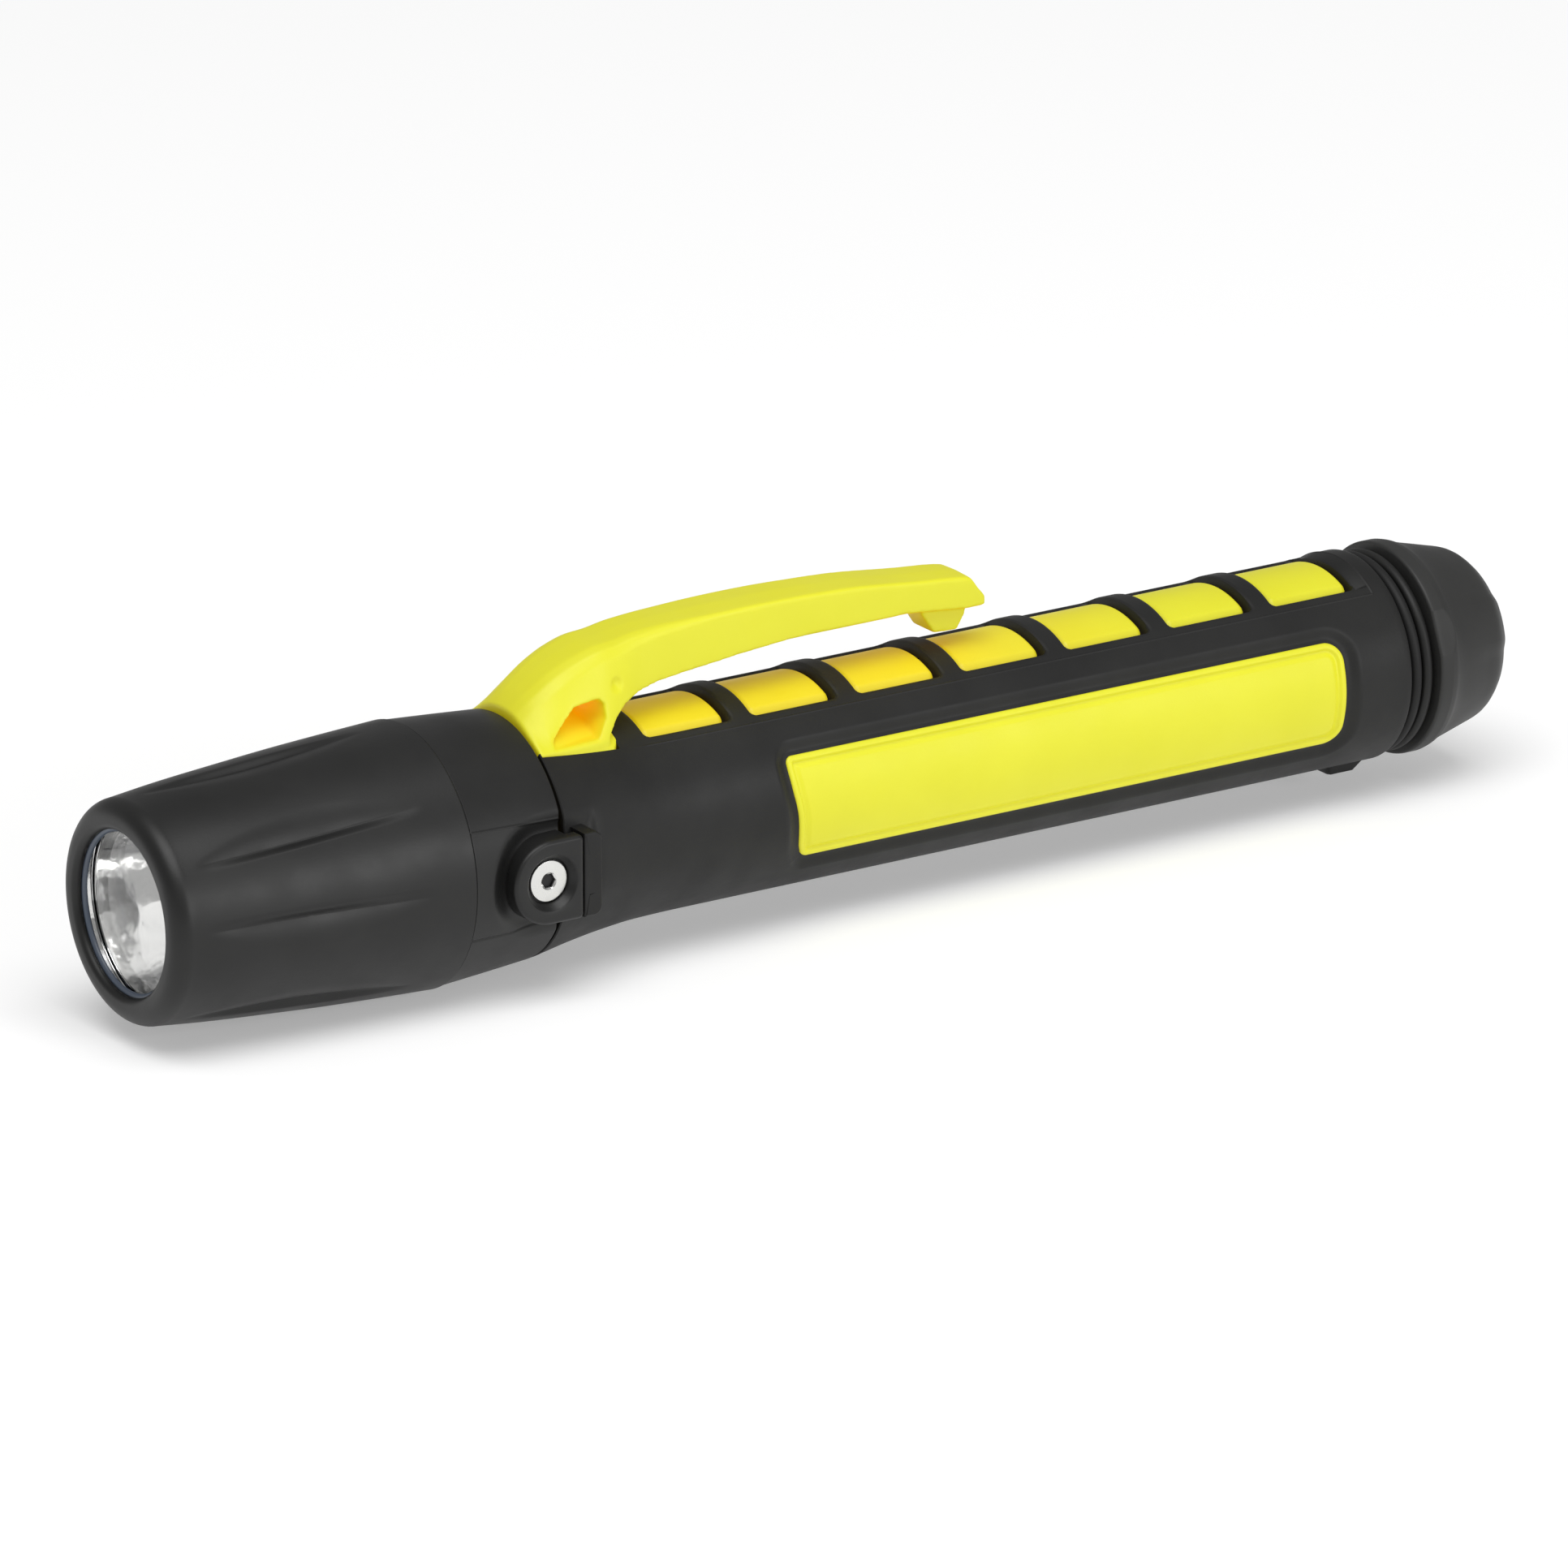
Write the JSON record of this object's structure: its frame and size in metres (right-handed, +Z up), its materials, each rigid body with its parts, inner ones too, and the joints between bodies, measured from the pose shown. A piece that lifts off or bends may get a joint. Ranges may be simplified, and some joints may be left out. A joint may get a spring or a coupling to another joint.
{
  "type": "firefighter hand torch",
  "caption": "Slim pen-type hand torch with locking head, twist switch at the tail, sprung pocket clip and luminous grip inserts.",
  "frame": {"origin": "bottom centre of the bounding box, under the middle of the torch as it lies level with its clip on top", "axes": "+X along the torch from lens to switch knob, +Z up through the clip, the lock screw faces -Y"},
  "size_m": [0.1744, 0.0301, 0.036],
  "materials": {
    "shell_black": "moulded nylon, satin, fine grain",
    "grip_black": "soft moulded grip, matte",
    "luminous_yellow": "luminous yellow moulding, fine satin grain",
    "rubber_black": "O-ring rubber",
    "seal_grey": "blue-grey silicone",
    "lens_clear": "clear polycarbonate",
    "silvered": "vacuum-silvered reflector",
    "steel": "stainless, lightly brushed",
    "brass": "plain brass",
    "aluminium": "machined",
    "board_green": "solder-masked circuit board",
    "board_white": "white solder mask",
    "phosphor": "LED phosphor under a clear dome",
    "cell_wrap": "printed sleeve, plain, no marks"
  },
  "bodies": {
    "handle": {"grip_sleeve": "grip_black", "inner_tube": "luminous_yellow", "pad_strip": "luminous_yellow", "side_panel_left": "luminous_yellow", "side_panel_right": "luminous_yellow", "clip_base": "luminous_yellow", "cell_front": "cell_wrap", "cell_rear": "cell_wrap", "contact_strip": "brass", "switch_housing": "shell_black", "switch_seal": "rubber_black"},
    "seal_carriage": {"head_seal": "rubber_black"},
    "head": {"head_shell": "shell_black", "lens_gasket": "seal_grey", "lens": "lens_clear", "reflector": "silvered", "led_emitter": "phosphor", "led_board": "board_white", "heat_sink": "aluminium", "driver_board": "board_green", "front_contact": "brass", "module_retainer": "rubber_black", "lock_screw": "steel", "screw_insert": "brass"},
    "clip": {"clip_arm": "luminous_yellow"},
    "knob": {"switch_knob": "shell_black", "stem_circlip": "steel"},
    "plunger": {"switch_plunger": "brass", "tail_spring": "steel"}
  },
  "joints": [
    {"name": "head_draw", "type": "slide", "parent": "handle", "child": "seal_carriage", "axis": [-1, 0, 0], "range_m": [0, 0.0025]},
    {"name": "head_turn", "type": "hinge", "parent": "seal_carriage", "child": "head", "pos_m": [-0.0515, 0, 0.0147], "axis": [1, 0, 0], "range_deg": [0, 75]},
    {"name": "clip_flex", "type": "hinge", "parent": "handle", "child": "clip", "pos_m": [-0.0254, 0, 0.0355], "axis": [0, -1, 0], "range_deg": [0, 6], "stiffness_Nm_per_rad": 0.6},
    {"name": "switch_turn", "type": "hinge", "parent": "handle", "child": "knob", "pos_m": [0.0757, 0, 0.0147], "axis": [1, 0, 0], "range_deg": [0, 90]},
    {"name": "contact_travel", "type": "slide", "parent": "handle", "child": "plunger", "axis": [-1, 0, 0], "range_m": [0, 0.0008]}
  ],
  "couplings": [
    {"joint": "head_turn", "follows": "head_draw", "rad_per_m": 523.6},
    {"joint": "switch_turn", "follows": "contact_travel", "rad_per_m": 1963.5}
  ]
}
